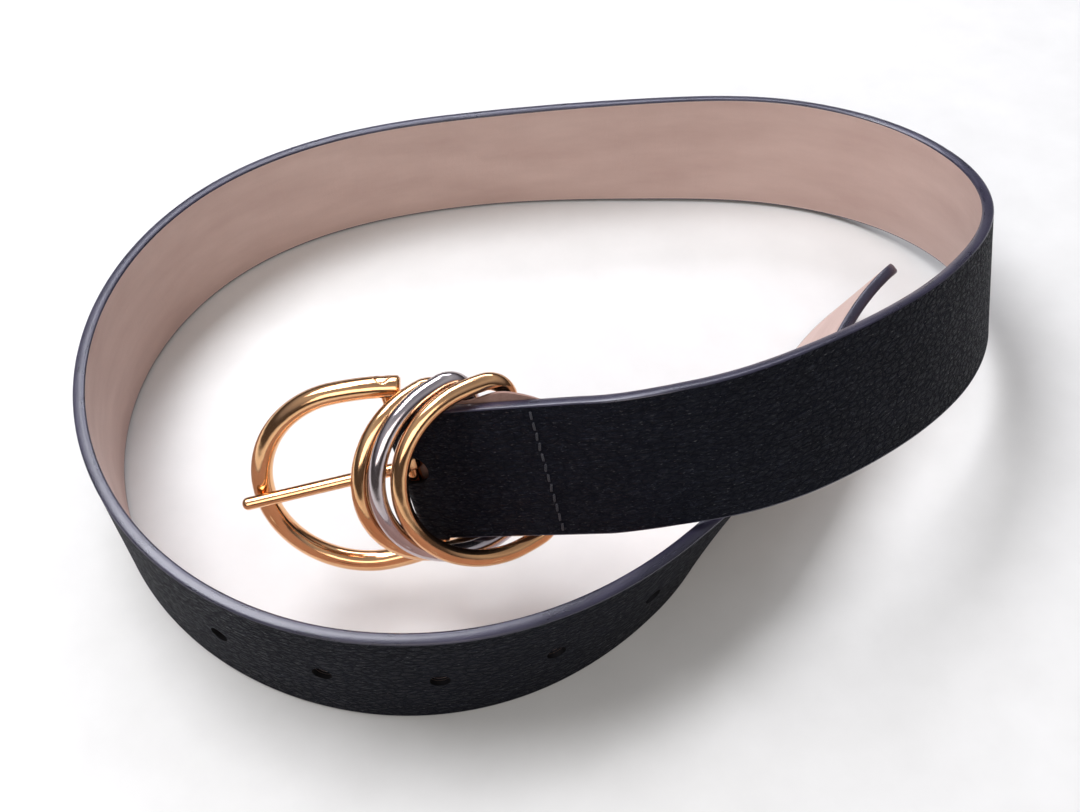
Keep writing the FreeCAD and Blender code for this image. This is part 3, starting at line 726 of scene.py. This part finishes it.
finish_piece(outer_leather(), "outer_leather", [GRAIN, SUEDE, EDGE, SUEDE, WALL], "strap",
             "outer_leather", "strap_outer")
core_near = -THICK / 2 + PLY + GLUE
core_far = core_near + CORE
finish_piece(inner_sheet(core_near, core_far, INNER_START), "filler_board", [BOARD, BOARD, WALL],
             "strap", "filler_board", "strap_core")
finish_piece(inner_sheet(core_far + GLUE, THICK / 2, INNER_START), "lining_leather",
             [LINER, LINER, WALL], "strap", "lining_leather", "strap_lining")
finish_piece(painted_edge(), "painted_edge", [EDGE], "strap", "outer_leather", sharp=60)
finish_piece(stitch_row(), "cross_seam_thread", [THREAD], "strap", "thread", "cross_stitches")

finish_piece(bar_end_caps(), "bar_end_caps", [GOLD], "frame", "rose_gold_metal", sharp=60)

METAL = {"buckle_frame": GOLD, "buckle_bar": GOLD, "prong": GOLD, "ring_lower_gold": GOLD,
         "ring_middle_silver": SILVER, "ring_upper_gold": GOLD}
for node, material in METAL.items():
    piece = frame["nodes"][node]
    piece.data.materials.clear()
    piece.data.materials.append(material)


# ------------------------------------------------------------ stage, light, camera
FLOOR_SIZE, FLOOR_GAP = 4.0, 0.0002


def floor():
    """Plain pale floor, a hair below the belt."""
    mesh = Mesh()
    size = FLOOR_SIZE
    corners = [mesh.vert(Vector(p)) for p in ((-size, -size, 0), (size, -size, 0),
                                              (size, size, 0), (-size, size, 0))]
    mesh.face(corners)
    data = bpy.data.meshes.new("floor")
    data.from_pydata(mesh.verts, [], mesh.faces)
    data.materials.append(painted_floor())
    plate = bpy.data.objects.new("floor", data)
    bpy.context.scene.collection.objects.link(plate)
    plate.location.z = -FLOOR_GAP


def area_light(name, place, size, power, colour):
    """Soft rectangular light that shines at the middle of the belt."""
    data = bpy.data.lights.new(name, "AREA")
    data.shape = "RECTANGLE"
    data.size, data.size_y = size
    data.energy = power
    data.color = colour
    lamp = bpy.data.objects.new(name, data)
    lamp.location = place
    lamp.rotation_mode = "QUATERNION"
    lamp.rotation_quaternion = (-Vector(place)).to_track_quat("-Z", "Y")
    bpy.context.scene.collection.objects.link(lamp)


SKY = [(0.0, (0.16, 0.14, 0.13)), (0.30, (0.13, 0.12, 0.13)), (0.48, (0.55, 0.55, 0.62)),
       (0.72, (0.95, 0.97, 1.0)), (1.0, (0.55, 0.56, 0.62))]


def world():
    """Soft room: dark near the floor, brightest above the horizon, paler overhead."""
    sky = bpy.data.worlds.new("soft_room")
    sky.use_nodes = True
    tree = sky.node_tree
    back = tree.nodes["Background"]
    place = tree.nodes.new("ShaderNodeTexCoord")
    height = tree.nodes.new("ShaderNodeSeparateXYZ")
    tone = tree.nodes.new("ShaderNodeValToRGB")
    tree.links.new(place.outputs["Generated"], height.inputs[0])
    tree.links.new(height.outputs[2], tone.inputs["Fac"])
    tree.links.new(tone.outputs["Color"], back.inputs["Color"])
    steps = tone.color_ramp.elements
    while len(steps) < len(SKY):
        steps.new(0.5)
    for step, (position, colour) in zip(steps, SKY):
        step.position = position
        step.color = (*colour, 1)
    back.inputs["Strength"].default_value = 0.52
    bpy.context.scene.world = sky


PITCH, ROLL = math.radians(50.85), math.radians(-2.05)
FOCAL, IMAGE_WIDTH, SENSOR = 1216.0, 1080.0, 36.0
EYE = Vector((-4.79, -212.79, 261.4)) * MM


def camera():
    """Camera above the front of the belt, looking down at it."""
    data = bpy.data.cameras.new("camera")
    data.sensor_width = SENSOR
    data.lens = FOCAL / IMAGE_WIDTH * SENSOR
    data.clip_start = 0.01
    eye = bpy.data.objects.new("camera", data)
    c, s = math.cos(PITCH), math.sin(PITCH)
    cr, sr = math.cos(ROLL), math.sin(ROLL)
    right = Vector((cr, sr * s, sr * c))
    up = Vector((-sr, cr * s, cr * c))
    back = Vector((0, -c, s))
    turn = Matrix((right, up, back)).transposed().to_4x4()
    eye.matrix_world = Matrix.Translation(EYE) @ turn
    bpy.context.scene.collection.objects.link(eye)
    bpy.context.scene.camera = eye


floor()
world()
area_light("window", (-0.42, 0.30, 0.95), (0.8, 0.45), 13, (0.93, 0.94, 1.0))
area_light("far_strip", (0.10, 1.05, 0.95), (0.9, 0.22), 6, (0.86, 0.88, 1.0))
area_light("front_fill", (-0.15, -1.0, 0.7), (0.9, 0.5), 4, (1.0, 0.94, 0.88))
camera()
bpy.context.scene.view_settings.view_transform = "Standard"
